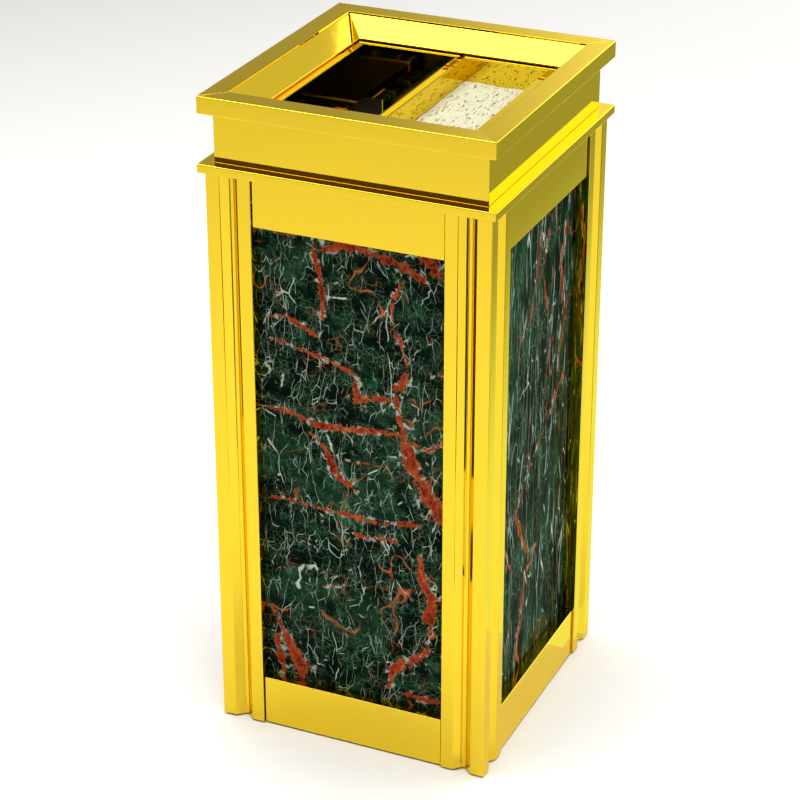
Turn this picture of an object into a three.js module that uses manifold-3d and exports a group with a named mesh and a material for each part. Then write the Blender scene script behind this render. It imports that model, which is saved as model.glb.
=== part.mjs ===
// A square-plan lobby ashtray bin: a marble-clad body with a folded gold metal frame, and a
// lift-off head that holds a waste opening and an ash tray side by side.
//
// Millimetres. +Z is up, the front faces -Y, and the origin is on the floor under the centre.
// The visible metal is folded sheet. Each folded piece is drawn as a line that follows its
// outer surface and is given the sheet's thickness on the hidden side.

import * as THREE from 'three';
import * as BufferGeometryUtils from 'three/addons/utils/BufferGeometryUtils.js';
import Module from 'manifold-3d';

// ---------------------------------------------------------------- driving dimensions

const totalHeight = 610;
const sheet = 1.5;
const gap = 0.3;

// Rim of the head
const rimWidth = 270;
const rimDepth = 280;
const rimLand = 20;
const rimHeight = 15.5;

// Neck between the rim and the ledge
const neckInset = 10;
const ledgeTop = 550;

// Ledge that caps the body
const ledgeThickness = 8;
const ledgeOverhang = 5;
const ledgeLand = 20;
const ledgeFlange = 24;

// Body
const bodyWidth = 262;
const bodyDepth = 272;
const skirtClearance = 1.5;

// Corner post profile, measured along a face from the outer corner
const barWidth = 13;
const grooveDepth = 7;
const grooveFloor = 3;
const stripWidth = 12;
const returnDepth = 13;
const returnLip = 8;
const postWidth = barWidth + 2 * grooveDepth + grooveFloor + stripWidth;

// Rails
const railRecess = 2;
const topRailHeight = 44;
const bottomRailHeight = 48;
const railFlange = 15;

// Marble panels
const marbleThickness = 10;
const marbleLap = 7;

// Hopper and the recess below it
const hopperInset = 38;
const hopperDepth = 18;
const recessDrop = 3.5;
const throatWidth = 90;
const wellDepth = 188;
const trayWidth = 78.5;
const throatFlange = 1.5;
const throatBottom = 540;
const outerFlange = 6;
const middleFlange = 2.2;
const wellInset = 46;
const trayPanDepth = 36;
const sandDrop = 20;

// Bucket
const bucketWidth = 194;
const bucketDepth = 198;
const bucketTop = 505;
const bucketSheet = 1;
const hemWidth = 3;
const hemHeight = 6;
const pivotHeight = 488;

// ---------------------------------------------------------------- heights worked out

const ledgeBottom = ledgeTop - ledgeThickness;
const skirtBottom = skirtClearance;
const bodyTop = ledgeBottom - gap;
const openingTop = bodyTop - topRailHeight;
const openingBottom = skirtBottom + bottomRailHeight;
const basePlateBottom = skirtBottom + sheet + gap;
const basePlateTop = basePlateBottom + 2;
const seatTop = totalHeight - hopperDepth - recessDrop;
const marbleFace = returnDepth + gap;
const angleFace = marbleFace + marbleThickness + gap;

// ---------------------------------------------------------------- materials

const gold = { color: 0xe9c440, roughness: 0.08, metalness: 1 };
const stone = { color: 0x16382c, roughness: 0.12, metalness: 0 };
const zinc = { color: 0xa9adae, roughness: 0.4, metalness: 1 };
const steel = { color: 0xb9bcc0, roughness: 0.3, metalness: 1 };
const rubber = { color: 0x161616, roughness: 0.8, metalness: 0 };
const whiteSand = { color: 0xe4e2dc, roughness: 0.95, metalness: 0 };

const group = new THREE.Group();
group.name = 'ashtray_bin';

function addPiece(name, geometry, look, parent = group) {
  const mesh = new THREE.Mesh(geometry, new THREE.MeshStandardMaterial(look));
  mesh.name = name;
  parent.add(mesh);
  return mesh;
}

// ---------------------------------------------------------------- shape helpers

function signedArea(outline) {
  let twice = 0;
  for (let i = 0; i < outline.length; i += 1) {
    const [ax, ay] = outline[i];
    const [bx, by] = outline[(i + 1) % outline.length];
    twice += ax * by - bx * ay;
  }
  return twice / 2;
}

// The line through a and b, moved to its right by the distance.
function movedLine(a, b, distance) {
  const length = Math.hypot(b[0] - a[0], b[1] - a[1]);
  const right = [(b[1] - a[1]) / length, -(b[0] - a[0]) / length];
  const start = [a[0] + right[0] * distance, a[1] + right[1] * distance];
  const end = [b[0] + right[0] * distance, b[1] + right[1] * distance];
  return [start, end];
}

function crossing([a, b], [c, d]) {
  const first = [b[0] - a[0], b[1] - a[1]];
  const second = [d[0] - c[0], d[1] - c[1]];
  const turn = first[0] * second[1] - first[1] * second[0];
  const along = ((c[0] - a[0]) * second[1] - (c[1] - a[1]) * second[0]) / turn;
  return [a[0] + first[0] * along, a[1] + first[1] * along];
}

// The closed outline of a bent sheet whose outer surface follows the path, with its
// thickness to the right of the direction of travel.
function bentSheet(path, thickness = sheet) {
  const lines = [];
  for (let i = 0; i + 1 < path.length; i += 1) {
    lines.push(movedLine(path[i], path[i + 1], thickness));
  }
  const inner = [lines[0][0]];
  for (let i = 0; i + 1 < lines.length; i += 1) {
    inner.push(crossing(lines[i], lines[i + 1]));
  }
  inner.push(lines[lines.length - 1][1]);
  return [...path, ...inner.reverse()];
}

function shapeOf(outline) {
  return new THREE.Shape(outline.map(([x, y]) => new THREE.Vector2(x, y)));
}

function upright(outline, bottom, top) {
  const geometry = new THREE.ExtrudeGeometry(shapeOf(outline), { depth: top - bottom, bevelEnabled: false });
  geometry.translate(0, 0, bottom);
  return geometry;
}

function block(x0, x1, y0, y1, z0, z1) {
  const geometry = new THREE.BoxGeometry(x1 - x0, y1 - y0, z1 - z0);
  geometry.translate((x0 + x1) / 2, (y0 + y1) / 2, (z0 + z1) / 2);
  return geometry;
}

function rod(x, y, bottom, top, radius, sides = 20) {
  const geometry = new THREE.CylinderGeometry(radius, radius, top - bottom, sides);
  geometry.rotateX(Math.PI / 2);
  geometry.translate(x, y, (bottom + top) / 2);
  return geometry;
}

// A frame round a rectangle with mitred corners. The outline gives (inset from the
// rectangle, height) pairs, so one outline makes all four sides.
function mitredFrame(outline, halfX, halfY) {
  const ordered = signedArea(outline) > 0 ? outline : [...outline].reverse();
  const corners = [[-1, -1], [1, -1], [1, 1], [-1, 1]];
  const positions = [];
  for (const [sx, sy] of corners) {
    for (const [inset, height] of ordered) {
      positions.push(sx * (halfX - inset), sy * (halfY - inset), height);
    }
  }
  const count = ordered.length;
  const indices = [];
  for (let side = 0; side < corners.length; side += 1) {
    const here = side * count;
    const next = ((side + 1) % corners.length) * count;
    for (let i = 0; i < count; i += 1) {
      const j = (i + 1) % count;
      indices.push(here + i, here + j, next + j);
      indices.push(here + i, next + j, next + i);
    }
  }
  const geometry = new THREE.BufferGeometry();
  geometry.setAttribute('position', new THREE.Float32BufferAttribute(positions, 3));
  geometry.setIndex(indices);
  const faceted = geometry.toNonIndexed();
  faceted.computeVertexNormals();
  return faceted;
}

// ---------------------------------------------------------------- joining and cutting

const wasm = await Module();
wasm.setup();

function solid(geometry) {
  const plain = geometry.clone();
  plain.deleteAttribute('normal');
  plain.deleteAttribute('uv');
  const merged = BufferGeometryUtils.mergeVertices(plain, 1e-4);
  const mesh = new wasm.Mesh({
    numProp: 3,
    vertProperties: new Float32Array(merged.attributes.position.array),
    triVerts: new Uint32Array(merged.index.array),
  });
  return new wasm.Manifold(mesh);
}

function geometryOf(body) {
  const mesh = body.getMesh();
  const geometry = new THREE.BufferGeometry();
  geometry.setAttribute('position', new THREE.BufferAttribute(new Float32Array(mesh.vertProperties), 3));
  geometry.setIndex(new THREE.BufferAttribute(new Uint32Array(mesh.triVerts), 1));
  const faceted = geometry.toNonIndexed();
  faceted.computeVertexNormals();
  return faceted;
}

function joined(...geometries) {
  return geometryOf(geometries.map(solid).reduce((whole, next) => whole.add(next)));
}

function cut(geometry, ...tools) {
  return geometryOf(tools.map(solid).reduce((whole, next) => whole.subtract(next), solid(geometry)));
}

// ---------------------------------------------------------------- corner posts

// Half of the profile runs from the hidden lip behind the marble, round the return, over
// the flat strip, through the groove and along the square bar to the outer corner.
const grooveStart = barWidth;
const grooveEnd = postWidth - stripWidth;
const halfPost = [
  [postWidth - returnLip, returnDepth],
  [postWidth, returnDepth],
  [postWidth, 0],
  [grooveEnd, 0],
  [grooveEnd - grooveDepth, grooveDepth],
  [grooveStart + grooveDepth, grooveDepth],
  [grooveStart, 0],
];
const mirroredHalf = [...halfPost].reverse().map(([x, y]) => [y, x]);
const postPath = [...halfPost, [0, 0], ...mirroredHalf];
const postGeometry = upright(bentSheet(postPath), skirtBottom, bodyTop);

const corners = [
  ['front_left', -1, -1, 0],
  ['front_right', 1, -1, 1],
  ['back_right', 1, 1, 2],
  ['back_left', -1, 1, 3],
];
for (const [name, sx, sy, quarterTurns] of corners) {
  const post = addPiece(`corner_post_${name}`, postGeometry.clone(), gold);
  post.position.set((sx * bodyWidth) / 2, (sy * bodyDepth) / 2, 0);
  post.rotation.z = (quarterTurns * Math.PI) / 2;
}

// ---------------------------------------------------------------- faces of the body

// Each face is drawn as the front face, centred on x, with y counted inward from the
// face, and is then turned to its side.
const faces = [
  ['front', bodyWidth, bodyDepth / 2, 0],
  ['right', bodyDepth, bodyWidth / 2, 1],
  ['back', bodyWidth, bodyDepth / 2, 2],
  ['left', bodyDepth, bodyWidth / 2, 3],
];

// A rail's outline is (inward, height); it runs along x between the posts.
function railGeometry(outline, length) {
  const geometry = new THREE.ExtrudeGeometry(shapeOf(outline), { depth: length, bevelEnabled: false });
  geometry.rotateX(Math.PI / 2);
  geometry.rotateZ(Math.PI / 2);
  geometry.translate(-length / 2, 0, 0);
  return geometry;
}

const topRailPath = [
  [railFlange, bodyTop],
  [railRecess, bodyTop],
  [railRecess, openingTop],
  [returnDepth, openingTop],
  [returnDepth, openingTop + returnLip],
];
const bottomRailPath = [
  [returnDepth, openingBottom - returnLip],
  [returnDepth, openingBottom],
  [railRecess, openingBottom],
  [railRecess, skirtBottom],
  [railFlange, skirtBottom],
];

const screwInward = 9.5;
const screwRadius = 2;
const screwHoleRadius = 2.3;
const screwHeadRadius = 3.8;
const screwHeadHeight = 2;

// Bent-sheet outlines above run so that their thickness must fall inside the rail.
function leftSheet(path) {
  return bentSheet([...path].reverse());
}

for (const [name, length, distance, quarterTurns] of faces) {
  const holder = new THREE.Group();
  holder.name = `face_${name}`;
  holder.rotation.z = (quarterTurns * Math.PI) / 2;
  group.add(holder);

  const railLength = length - 2 * (postWidth + gap);
  const upperHole = rod(0, screwInward, bodyTop - 5, bodyTop + 5, screwHoleRadius);
  const lowerHole = rod(0, screwInward, skirtBottom - 5, skirtBottom + 5, screwHoleRadius);

  const topRail = cut(railGeometry(leftSheet(topRailPath), railLength), upperHole);
  topRail.translate(0, -distance, 0);
  addPiece(`top_rail_${name}`, topRail, gold, holder);

  const bottomRail = cut(railGeometry(leftSheet(bottomRailPath), railLength), lowerHole);
  bottomRail.translate(0, -distance, 0);
  addPiece(`bottom_rail_${name}`, bottomRail, gold, holder);

  const halfPanel = length / 2 - postWidth + marbleLap;
  const panel = block(
    -halfPanel,
    halfPanel,
    marbleFace - distance,
    marbleFace + marbleThickness - distance,
    openingBottom - marbleLap,
    openingTop + marbleLap,
  );
  addPiece(`marble_panel_${name}`, panel, stone, holder);
}

// ---------------------------------------------------------------- inside the body

// Four angles stand in the corners and hold the backs of the panels.
const angleLeg = 28;
const angleThickness = 2;
const angleEnd = angleFace + angleLeg;
const angleOutline = [
  [angleFace, angleFace],
  [angleEnd, angleFace],
  [angleEnd, angleFace + angleThickness],
  [angleFace + angleThickness, angleFace + angleThickness],
  [angleFace + angleThickness, angleEnd],
  [angleFace, angleEnd],
];
for (const [name, sx, sy, quarterTurns] of corners) {
  const angleGeometry = upright(angleOutline, basePlateTop + gap, bodyTop - sheet - gap);
  const angle = addPiece(`panel_angle_${name}`, angleGeometry, zinc);
  angle.position.set((sx * bodyWidth) / 2, (sy * bodyDepth) / 2, 0);
  angle.rotation.z = (quarterTurns * Math.PI) / 2;
}

// One screw at the middle of each side holds the base plate, and one the ledge.
const screwPlaces = [
  ['front', 0, screwInward - bodyDepth / 2],
  ['right', bodyWidth / 2 - screwInward, 0],
  ['back', 0, bodyDepth / 2 - screwInward],
  ['left', screwInward - bodyWidth / 2, 0],
];
const screwHoles = (bottom, top) => screwPlaces.map(([, x, y]) => rod(x, y, bottom, top, screwHoleRadius));

// The base plate drops between the rails, with its corners cut away round the posts.
const plateEdge = railRecess + sheet + gap;
const notch = postWidth + gap;
const plateHalfX = bodyWidth / 2 - plateEdge;
const plateHalfY = bodyDepth / 2 - plateEdge;
const notchX = bodyWidth / 2 - notch;
const notchY = bodyDepth / 2 - notch;
const basePlateOutline = [
  [-notchX, -plateHalfY],
  [notchX, -plateHalfY],
  [notchX, -notchY],
  [plateHalfX, -notchY],
  [plateHalfX, notchY],
  [notchX, notchY],
  [notchX, plateHalfY],
  [-notchX, plateHalfY],
  [-notchX, notchY],
  [-plateHalfX, notchY],
  [-plateHalfX, -notchY],
  [-notchX, -notchY],
];
const basePlate = upright(basePlateOutline, basePlateBottom, basePlateTop);
addPiece('base_plate', cut(basePlate, ...screwHoles(0, basePlateTop + 1)), zinc);

function addScrews(prefix, headBottom, shankBottom, shankTop) {
  for (const [name, x, y] of screwPlaces) {
    const head = rod(x, y, headBottom, headBottom + screwHeadHeight, screwHeadRadius);
    const shank = rod(x, y, shankBottom, shankTop, screwRadius);
    addPiece(`${prefix}_${name}`, joined(head, shank), steel);
  }
}
const baseHeadBottom = basePlateTop + gap;
addScrews('base_screw', baseHeadBottom, skirtBottom - 0.5, baseHeadBottom + 0.5);

const padSize = 30;
const padInset = 66;
const padTop = basePlateBottom - gap;
for (const [name, sx, sy] of corners) {
  const pad = addPiece(`base_pad_${name}`, new THREE.BoxGeometry(padSize, padSize, padTop), rubber);
  pad.position.set(sx * (bodyWidth / 2 - padInset), sy * (bodyDepth / 2 - padInset), padTop / 2);
}

// ---------------------------------------------------------------- ledge and its collar

const ledgeHalfX = bodyWidth / 2 + ledgeOverhang;
const ledgeHalfY = bodyDepth / 2 + ledgeOverhang;
const ledgePath = [
  [ledgeFlange, ledgeBottom],
  [0, ledgeBottom],
  [0, ledgeTop],
  [ledgeLand, ledgeTop],
  [ledgeLand, ledgeBottom + 3],
];
const ledgeRing = mitredFrame(bentSheet(ledgePath), ledgeHalfX, ledgeHalfY);
addPiece('ledge', cut(ledgeRing, ...screwHoles(ledgeBottom - 1, ledgeBottom + 2.5)), gold);

const ledgeHeadTop = bodyTop - sheet - gap;
addScrews('ledge_screw', ledgeHeadTop - screwHeadHeight, ledgeHeadTop - 0.5, ledgeBottom + 3);

const collarPlay = 0.5;
const collarHeight = 12;
const collarFoot = 6;
const collarHalfX = rimWidth / 2 - neckInset - sheet - collarPlay;
const collarHalfY = rimDepth / 2 - neckInset - sheet - collarPlay;
const collarPath = [
  [collarFoot, ledgeTop + gap],
  [0, ledgeTop + gap],
  [0, ledgeTop + gap + collarHeight],
];
addPiece('head_collar', mitredFrame(bentSheet(collarPath), collarHalfX, collarHalfY), zinc);

// ---------------------------------------------------------------- head

const rimHalfX = rimWidth / 2;
const rimHalfY = rimDepth / 2;
const rimBottom = totalHeight - rimHeight;

const rimPath = [
  [neckInset - gap, rimBottom],
  [0, rimBottom],
  [0, totalHeight],
  [rimLand, totalHeight],
];
addPiece('rim_frame', mitredFrame(bentSheet(rimPath), rimHalfX, rimHalfY), gold);

const landUnderside = totalHeight - sheet - gap;
const neckOutline = [
  [neckInset, ledgeTop + gap],
  [neckInset + sheet, ledgeTop + gap],
  [neckInset + sheet, landUnderside],
  [neckInset, landUnderside],
];
addPiece('neck_band', mitredFrame(neckOutline, rimHalfX, rimHalfY), gold);

const hopperBottom = totalHeight - hopperDepth;
const hopperLap = 6;
const hopperPath = [
  [rimLand - hopperLap, landUnderside],
  [rimLand, landUnderside],
  [hopperInset, hopperBottom],
  [hopperInset, seatTop - sheet],
];
addPiece('hopper', mitredFrame(bentSheet(hopperPath), rimHalfX, rimHalfY), gold);

// The recess is split into a waste throat on the left and an ash tray on the right.
const wellLeft = -rimHalfX + wellInset;
const throatRight = wellLeft + throatWidth;
const trayRight = rimHalfX - wellInset;
const trayLeft = trayRight - trayWidth;
const wellFront = -wellDepth / 2;
const wellBack = wellDepth / 2;
const seatPlay = 0.5;

const seatOutlineX = rimHalfX - hopperInset - gap;
const seatOutlineY = rimHalfY - hopperInset - gap;
const seatPlate = block(-seatOutlineX, seatOutlineX, -seatOutlineY, seatOutlineY, seatTop - sheet, seatTop);
const opening = sheet + seatPlay;
const throatHole = block(
  wellLeft - opening,
  throatRight + opening,
  wellFront - opening,
  wellBack + opening,
  seatTop - 10,
  seatTop + 10,
);
const trayHole = block(
  trayLeft - opening,
  trayRight + opening,
  wellFront - opening,
  wellBack + opening,
  seatTop - 10,
  seatTop + 10,
);
addPiece('recess_seat', cut(seatPlate, throatHole, trayHole), gold);

// A flanged box without a floor: its flange lies on the seat and its walls hang through.
const flangeBottom = seatTop + gap;
const flangeTop = flangeBottom + throatFlange;

function flangedWalls(left, right, flangeLeft, flangeRight, bottom) {
  const flange = block(
    left - flangeLeft,
    right + flangeRight,
    wellFront - outerFlange,
    wellBack + outerFlange,
    flangeBottom,
    flangeTop,
  );
  const walls = block(left - sheet, right + sheet, wellFront - sheet, wellBack + sheet, bottom, flangeTop);
  return joined(flange, walls);
}

const throatBlank = flangedWalls(wellLeft, throatRight, outerFlange, middleFlange, throatBottom);
const throatBore = block(wellLeft, throatRight, wellFront, wellBack, throatBottom - 1, flangeTop + 1);
addPiece('waste_throat', cut(throatBlank, throatBore), gold);

// ---------------------------------------------------------------- ash tray and its sand

const trayBottom = flangeTop - trayPanDepth;
const trayBlank = flangedWalls(trayLeft, trayRight, middleFlange, outerFlange, trayBottom);
const trayInside = block(trayLeft, trayRight, wellFront, wellBack, trayBottom + sheet, flangeTop + 1);
addPiece('ash_tray', cut(trayBlank, trayInside), gold);

const sandTop = flangeTop - sandDrop;
const sandBottom = trayBottom + sheet + gap;
const sandHeight = sandTop - sandBottom;
const sandWidth = trayWidth - 2 * gap;
const sandDepth = wellDepth - 2 * gap;
const sandGeometry = new THREE.BoxGeometry(sandWidth, sandDepth, sandHeight, 8, 18, 1);
const sandPoints = sandGeometry.attributes.position;
for (let i = 0; i < sandPoints.count; i += 1) {
  if (sandPoints.getZ(i) > 0) {
    const x = sandPoints.getX(i);
    const y = sandPoints.getY(i);
    const ripple = 0.8 * Math.sin(x / 11 + 0.6) * Math.cos(y / 17) + 0.5 * Math.sin((x + y) / 23);
    sandPoints.setZ(i, sandPoints.getZ(i) + ripple);
  }
}
sandGeometry.translate((trayLeft + trayRight) / 2, (wellFront + wellBack) / 2, (sandTop + sandBottom) / 2);
addPiece('tray_sand', sandGeometry, whiteSand);

// ---------------------------------------------------------------- bucket

const bucketBottom = basePlateTop + gap;
const bucketHalfX = bucketWidth / 2;
const bucketHalfY = bucketDepth / 2;
const hemOutline = [
  [-hemWidth, bucketTop - hemHeight],
  [-hemWidth, bucketTop],
  [bucketSheet, bucketTop],
  [bucketSheet, bucketBottom],
  [0, bucketBottom],
  [0, bucketTop - bucketSheet],
  [bucketSheet - hemWidth, bucketTop - bucketSheet],
  [bucketSheet - hemWidth, bucketTop - hemHeight],
];
const bucketWalls = mitredFrame(hemOutline, bucketHalfX, bucketHalfY);
const bucketFloor = block(
  -bucketHalfX,
  bucketHalfX,
  -bucketHalfY,
  bucketHalfY,
  bucketBottom,
  bucketBottom + bucketSheet,
);
addPiece('bucket', joined(bucketWalls, bucketFloor), zinc);

// The bail is a flat strap that turns on a headed stud at each side of the bucket. At rest
// it has dropped until its cross bar lies against the bucket's back.
const strapThickness = 2.5;
const strapHalfWidth = 4;
const eyeRadius = 7;
const studRadius = 3;
const studHeadRadius = 5;
const studHeadThickness = 1.5;
const bailDrop = (15 * Math.PI) / 180;
const strapInner = bucketHalfX + hemWidth + 0.4;
const strapOuter = strapInner + strapThickness;
const barInner = bucketHalfY + hemWidth + 2.2;
const barOuter = barInner + strapThickness;

function sideways(radius, x0, x1) {
  const geometry = new THREE.CylinderGeometry(radius, radius, x1 - x0, 28);
  geometry.rotateZ(Math.PI / 2);
  geometry.translate((x0 + x1) / 2, 0, 0);
  return geometry;
}

for (const [name, halfTurns] of [['right', 0], ['left', 1]]) {
  const shank = sideways(studRadius, bucketHalfX + gap, strapOuter + gap + 0.5);
  const head = sideways(studHeadRadius, strapOuter + gap, strapOuter + gap + studHeadThickness);
  const stud = addPiece(`bucket_stud_${name}`, joined(shank, head), steel);
  stud.position.z = pivotHeight;
  stud.rotation.z = halfTurns * Math.PI;
}

function arm(x0, x1) {
  const strap = block(x0, x1, 0, barOuter, -strapHalfWidth, strapHalfWidth);
  return joined(strap, sideways(eyeRadius, x0, x1));
}
const crossBar = block(-strapOuter, strapOuter, barInner, barOuter, -strapHalfWidth, strapHalfWidth);
const bailBlank = joined(arm(-strapOuter, -strapInner), arm(strapInner, strapOuter), crossBar);
const eyeHole = sideways(studRadius + gap, -strapOuter - 1, strapOuter + 1);
const bail = addPiece('bucket_bail', cut(bailBlank, eyeHole), steel);
bail.position.z = pivotHeight;
bail.rotation.x = -bailDrop;

export default group;
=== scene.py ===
# %% [markdown]
# # A marble and gold ashtray bin
# The bin is a square metal frame with four polished stone panels, and a loose head that holds
# a waste opening and an ash tray. The measured model comes in first, and each new piece is
# built at the place that it gives, so nothing has to be fitted by eye afterwards.

# %% Load the measured frame
import random
from math import cos, pi, radians, sin

import bmesh
import bpy
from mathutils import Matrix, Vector
from mathutils import noise as rock_noise


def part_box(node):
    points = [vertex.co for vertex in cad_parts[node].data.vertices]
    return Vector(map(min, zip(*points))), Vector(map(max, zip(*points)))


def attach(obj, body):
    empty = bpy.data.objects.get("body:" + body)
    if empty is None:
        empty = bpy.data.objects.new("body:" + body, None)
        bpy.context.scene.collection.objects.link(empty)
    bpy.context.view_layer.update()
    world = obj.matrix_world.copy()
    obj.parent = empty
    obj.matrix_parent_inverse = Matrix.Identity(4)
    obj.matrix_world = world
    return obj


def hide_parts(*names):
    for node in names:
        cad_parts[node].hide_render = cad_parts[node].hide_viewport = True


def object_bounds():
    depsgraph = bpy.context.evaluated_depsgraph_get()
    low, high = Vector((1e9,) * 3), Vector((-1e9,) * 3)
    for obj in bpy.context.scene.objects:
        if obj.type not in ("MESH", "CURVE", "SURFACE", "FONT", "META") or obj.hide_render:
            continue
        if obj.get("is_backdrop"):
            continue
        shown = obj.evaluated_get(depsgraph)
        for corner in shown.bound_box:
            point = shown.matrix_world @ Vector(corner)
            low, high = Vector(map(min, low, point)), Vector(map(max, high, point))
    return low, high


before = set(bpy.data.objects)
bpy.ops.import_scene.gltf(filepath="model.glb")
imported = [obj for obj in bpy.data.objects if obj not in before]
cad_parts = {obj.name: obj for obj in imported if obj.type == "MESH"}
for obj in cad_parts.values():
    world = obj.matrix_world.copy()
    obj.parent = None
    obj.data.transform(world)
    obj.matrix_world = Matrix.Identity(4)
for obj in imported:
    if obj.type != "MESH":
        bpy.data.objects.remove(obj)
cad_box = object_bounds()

# %% [markdown]
# ## The camera
# The bin is looked down on from its front right, with a long lens, so that its uprights stay
# nearly parallel. A camera can be aimed with a constraint or by hand. Here its direction is
# worked out from two angles, because two angles are easy to read and to change.

# %% Camera
VIEW_AZIMUTH = radians(24.0)
VIEW_ELEVATION = radians(26.33)
VIEW_DISTANCE = 2.34
LENS = 115.3
SENSOR_WIDTH = 36.0
AIM = Vector((-0.0114, 0.0, 0.2898))
toward_camera = Vector((
    sin(VIEW_AZIMUTH) * cos(VIEW_ELEVATION),
    -cos(VIEW_AZIMUTH) * cos(VIEW_ELEVATION),
    sin(VIEW_ELEVATION),
))
camera_data = bpy.data.cameras.new("camera")
camera_data.lens = LENS
camera_data.sensor_width = SENSOR_WIDTH
camera = bpy.data.objects.new("camera", camera_data)
bpy.context.scene.collection.objects.link(camera)
camera.location = AIM + toward_camera * VIEW_DISTANCE
camera.rotation_euler = (-toward_camera).to_track_quat("-Z", "Y").to_euler()
bpy.context.scene.camera = camera
bpy.context.scene.view_settings.view_transform = "Standard"
print("camera at", [round(c, 3) for c in camera.location])

# %% [markdown]
# ## Working by hand, in code
# A person at the screen adds a plate, picks an edge and pulls it. The same operators can be
# called from a script, as long as it first clears what was picked before, and then picks
# edges by where they are. These few helpers are that pair of hands.

# %% Helpers: pick and pull
MM = 0.001
FLAT_TILT = {
    "+z": (0, 0, 0),
    "-z": (pi, 0, 0),
    "+y": (-pi / 2, 0, 0),
    "-y": (pi / 2, 0, 0),
    "+x": (0, pi / 2, 0),
    "-x": (0, -pi / 2, 0),
}
NEAR = 0.05 * MM


def clear_bench():
    """Leave edit mode and pick nothing."""
    if bpy.context.object and bpy.context.object.mode != "OBJECT":
        bpy.ops.object.mode_set(mode="OBJECT")
    bpy.ops.object.select_all(action="DESELECT")


def hold(piece):
    """Pick one piece, and make it the one that operators work on."""
    clear_bench()
    piece.select_set(True)
    bpy.context.view_layer.objects.active = piece


def stretch_to(low, high):
    """Stretch a picked unit shape, centred between two corners, until it fills them."""
    spans = [high[i] - low[i] for i in range(3)]
    value = [span if span > NEAR else 1 for span in spans]
    bpy.ops.transform.resize(value=value, center_override=(Vector(low) + Vector(high)) / 2)


def lay_plate(name, low, high, facing):
    """A flat plate between two corners, left open in edit mode."""
    clear_bench()
    middle = (Vector(low) + Vector(high)) / 2
    bpy.ops.mesh.primitive_plane_add(size=1, location=middle, rotation=FLAT_TILT[facing])
    bpy.context.object.name = name
    bpy.ops.object.transform_apply(location=True, rotation=True, scale=True)
    bpy.ops.object.mode_set(mode="EDIT")
    bpy.ops.mesh.select_all(action="SELECT")
    stretch_to(low, high)
    return bpy.context.object


def pick_edges(test):
    """Pick the edges whose two ends both pass the test."""
    mesh = bpy.context.object.data
    bpy.ops.mesh.select_mode(type="EDGE")
    bpy.ops.mesh.select_all(action="DESELECT")
    shape = bmesh.from_edit_mesh(mesh)
    for edge in shape.edges:
        if test(edge.verts[0].co) and test(edge.verts[1].co):
            edge.select_set(True)
    bmesh.update_edit_mesh(mesh)


def pick_faces(test):
    """Pick the faces whose centre and normal pass the test."""
    mesh = bpy.context.object.data
    bpy.ops.mesh.select_mode(type="FACE")
    bpy.ops.mesh.select_all(action="DESELECT")
    shape = bmesh.from_edit_mesh(mesh)
    for face in shape.faces:
        if test(face.calc_center_median(), face.normal):
            face.select_set(True)
    bmesh.update_edit_mesh(mesh)


def fold_by(x, y, z):
    """Pull the picked edge, as the next flap of a folded sheet."""
    bpy.ops.mesh.extrude_region_move(TRANSFORM_OT_translate={"value": (x, y, z)})


# %% Helpers: give a skin its thickness and soft folds
FOLD_ANGLE = radians(12)  # a bend sharper than this is a fold
CUT_ANGLE = radians(35)  # a sharper one still is the edge of a cut
ROUND_ANGLE = radians(40)  # a softer one is shaded round
SIMPLE_WALL = {"use_even_offset": True}
EXACT_WALL = {
    "solidify_mode": "NON_MANIFOLD",
    "nonmanifold_thickness_mode": "CONSTRAINTS",
    "nonmanifold_boundary_mode": "FLAT",
}


def add_modifier(piece, kind, **settings):
    """Add a modifier with its settings and apply it at once."""
    hold(piece)
    modifier = piece.modifiers.new(kind.lower(), kind)
    for key, value in settings.items():
        setattr(modifier, key, value)
    bpy.ops.object.modifier_apply(modifier=modifier.name)


def face_outward(axis):
    """Turn the whole skin so that its farthest face along an axis looks that way."""
    bpy.ops.mesh.select_all(action="SELECT")
    bpy.ops.mesh.normals_make_consistent(inside=False)
    shape = bmesh.from_edit_mesh(bpy.context.object.data)

    def reach(face):
        """How far out a face lies, and then how square it is to the axis."""
        return round(face.calc_center_median()[axis], 6) + 1e-4 * abs(face.normal[axis])

    if max(shape.faces, key=reach).normal[axis] < 0:
        bpy.ops.mesh.flip_normals()


def mark_folds():
    """Give every bent edge of the open skin a bevel weight."""
    bpy.ops.mesh.select_mode(type="EDGE")
    bpy.ops.mesh.select_all(action="DESELECT")
    bpy.ops.mesh.edges_select_sharp(sharpness=FOLD_ANGLE)
    bpy.ops.transform.edge_bevelweight(value=1)


def settle_light(piece):
    """Smooth the small bends and keep the flats flat, so that they mirror cleanly."""
    hold(piece)
    bpy.ops.object.shade_smooth_by_angle(angle=ROUND_ANGLE)
    add_modifier(piece, "WEIGHTED_NORMAL", mode="FACE_AREA", weight=50, keep_sharp=True)


def finish_sheet(thickness, fold_radius, end_ease=0.2 * MM, exact=False):
    """Close a folded skin: fold marks, thickness, soft folds, eased ends.
    Exact thickness is for a flange round a well, where three flats meet in one corner."""
    piece = bpy.context.object
    mark_folds()
    wall = EXACT_WALL if exact else SIMPLE_WALL
    add_modifier(piece, "SOLIDIFY", thickness=thickness, offset=-1, **wall)
    add_modifier(piece, "BEVEL", limit_method="WEIGHT", width=fold_radius, segments=3)
    add_modifier(
        piece, "BEVEL", limit_method="ANGLE", angle_limit=CUT_ANGLE, width=end_ease, segments=1
    )
    settle_light(piece)
    print(piece.name, "has", len(piece.data.polygons), "faces")
    return piece


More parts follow.
